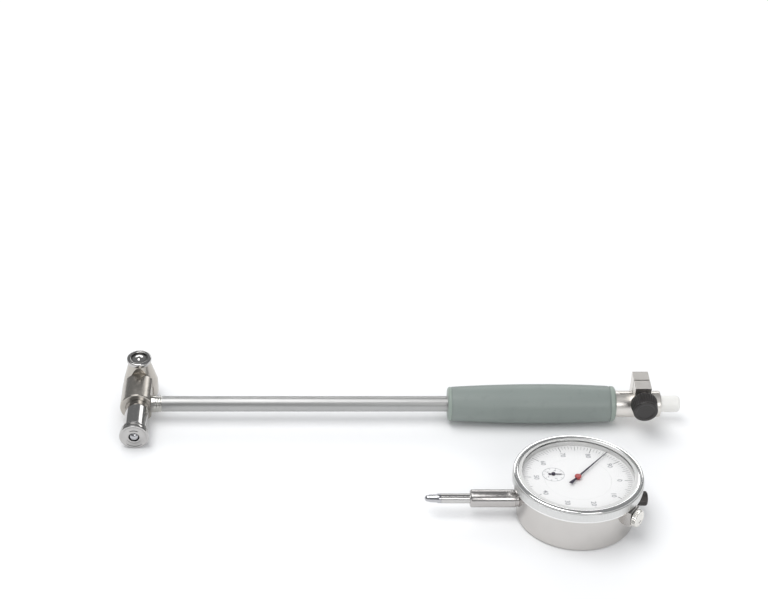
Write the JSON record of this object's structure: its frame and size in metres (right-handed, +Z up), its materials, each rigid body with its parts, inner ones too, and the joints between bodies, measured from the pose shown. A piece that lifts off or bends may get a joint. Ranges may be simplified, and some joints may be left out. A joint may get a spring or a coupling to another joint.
{
  "type": "dial bore gauge",
  "caption": "Dial bore gauge laid out for use: long-stem gauge holder with sprung measuring head, and the dial indicator that clamps in its collar lying beside it.",
  "frame": {"origin": "on the bench surface, under the middle of the whole layout's box", "axes": "+X along the stem from measuring head to handle, +Y along the measuring axis from the sprung contact to the fixed anvil (the indicator lies on the -Y side), +Z up from the bench"},
  "size_m": [0.27, 0.1338, 0.0263],
  "materials": {
    "satin_nickel": "satin nickel plate on a turned head",
    "chrome": "polished chrome",
    "satin_steel": "ground and drawn satin steel",
    "hard_steel": "hardened and polished",
    "aluminium": "light satin turning",
    "grip_plastic": "grey-green moulded insulating handle",
    "black_plastic": "black moulded knob",
    "white_plastic": "white turned plug",
    "dark_steel": "blackened knurled steel",
    "case_metal": "satin plated case",
    "dial_white": "matt white dial paint",
    "crystal": "clear acrylic",
    "pointer_black": "black painted pointer",
    "hub_red": "red lacquered hub",
    "brass": "brass plates and wheels",
    "spring_steel": "spring wire"
  },
  "bodies": {
    "holder": {"anvil_block": "satin_nickel", "anvil_lock_ring": "chrome", "anvil_lock_screw": "chrome", "back_plate": "case_metal", "back_screws": "hard_steel", "bezel_lock_lug": "case_metal", "bridge_plate": "brass", "centring_spring": "spring_steel", "crank_pin": "hard_steel", "fixed_anvil": "hard_steel", "grip": "grip_plastic", "head_body": "satin_nickel", "indicator_case": "case_metal", "indicator_collar": "aluminium", "indicator_stem": "hard_steel", "inner_dial": "dial_white", "movement_pillars": "brass", "movement_plate": "brass", "movement_screws": "hard_steel", "push_rod_spring": "spring_steel", "rod_ferrule": "satin_steel", "spindle_cap": "dark_steel", "stem_tube": "satin_steel", "transit_plug": "white_plastic", "upper_bush": "brass"},
    "sleeve": {"centring_sleeve": "chrome"},
    "contact": {"measuring_contact": "hard_steel"},
    "crank": {"bell_crank": "hard_steel"},
    "push_rod": {"push_rod": "hard_steel"},
    "clamp": {"clamp_knob": "black_plastic", "clamp_screw": "hard_steel"},
    "spindle": {"spindle": "hard_steel", "contact_point": "hard_steel"},
    "counter": {"transfer_arbor": "brass", "small_pointer": "pointer_black"},
    "pointer": {"centre_arbor": "brass", "main_pointer": "pointer_black", "pointer_hub": "hub_red"},
    "takeup": {"takeup_gear": "brass", "hairspring": "spring_steel"},
    "bezel": {"bezel": "aluminium", "crystal": "crystal", "scale_ring": "dial_white"},
    "bezel_lock": {"bezel_lock_screw": "chrome"}
  },
  "joints": [
    {"name": "push_rod_slide", "type": "slide", "parent": "holder", "child": "push_rod", "axis": [1, 0, 0], "range_m": [0, 0.0012], "stiffness_N_per_m": 800, "springref_m": -0.004},
    {"name": "contact_slide", "type": "slide", "parent": "holder", "child": "contact", "axis": [0, 0.9943, 0.107], "range_m": [0, 0.0012]},
    {"name": "crank_turn", "type": "hinge", "parent": "holder", "child": "crank", "pos_m": [-0.12345, 0.03246, 0.00921], "axis": [0, -0.107, 0.9943], "range_deg": [-22, 0]},
    {"name": "sleeve_slide", "type": "slide", "parent": "holder", "child": "sleeve", "axis": [0, 0.9943, 0.107], "range_m": [0, 0.0015], "stiffness_N_per_m": 600, "springref_m": -0.003},
    {"name": "clamp_turn", "type": "hinge", "parent": "holder", "child": "clamp", "pos_m": [0.11545, 0.0247, 0.01773], "axis": [0, -0.9943, -0.107], "range_deg": [0, 360]},
    {"name": "spindle_slide", "type": "slide", "parent": "holder", "child": "spindle", "axis": [1, 0, 0], "range_m": [0, 0.01], "stiffness_N_per_m": 60, "springref_m": -0.02},
    {"name": "counter_turn", "type": "hinge", "parent": "holder", "child": "counter", "pos_m": [0.06533, -0.03466, 0.014], "axis": [0, 0, 1], "range_deg": [0, 360]},
    {"name": "pointer_turn", "type": "hinge", "parent": "holder", "child": "pointer", "pos_m": [0.07585, -0.03786, 0.017], "axis": [0, 0, 1], "range_deg": [-3600, 0]},
    {"name": "takeup_turn", "type": "hinge", "parent": "holder", "child": "takeup", "pos_m": [0.0808, -0.04281, 0.014], "axis": [0, 0, 1], "range_deg": [0, 600]},
    {"name": "bezel_turn", "type": "hinge", "parent": "holder", "child": "bezel", "pos_m": [0.07585, -0.03786, 0.019], "axis": [0, 0, 1], "continuous": true},
    {"name": "bezel_lock_turn", "type": "hinge", "parent": "holder", "child": "bezel_lock", "pos_m": [0.09883, -0.05714, 0.0136], "axis": [0.766, -0.6428, 0], "range_deg": [0, 360]}
  ],
  "couplings": [
    {"joint": "contact_slide", "follows": "push_rod_slide", "ratio": 1},
    {"joint": "crank_turn", "follows": "push_rod_slide", "rad_per_m": -312.5},
    {"joint": "counter_turn", "follows": "spindle_slide", "rad_per_m": 628.32},
    {"joint": "pointer_turn", "follows": "spindle_slide", "rad_per_m": -6283.2},
    {"joint": "takeup_turn", "follows": "spindle_slide", "rad_per_m": 1047.2}
  ]
}
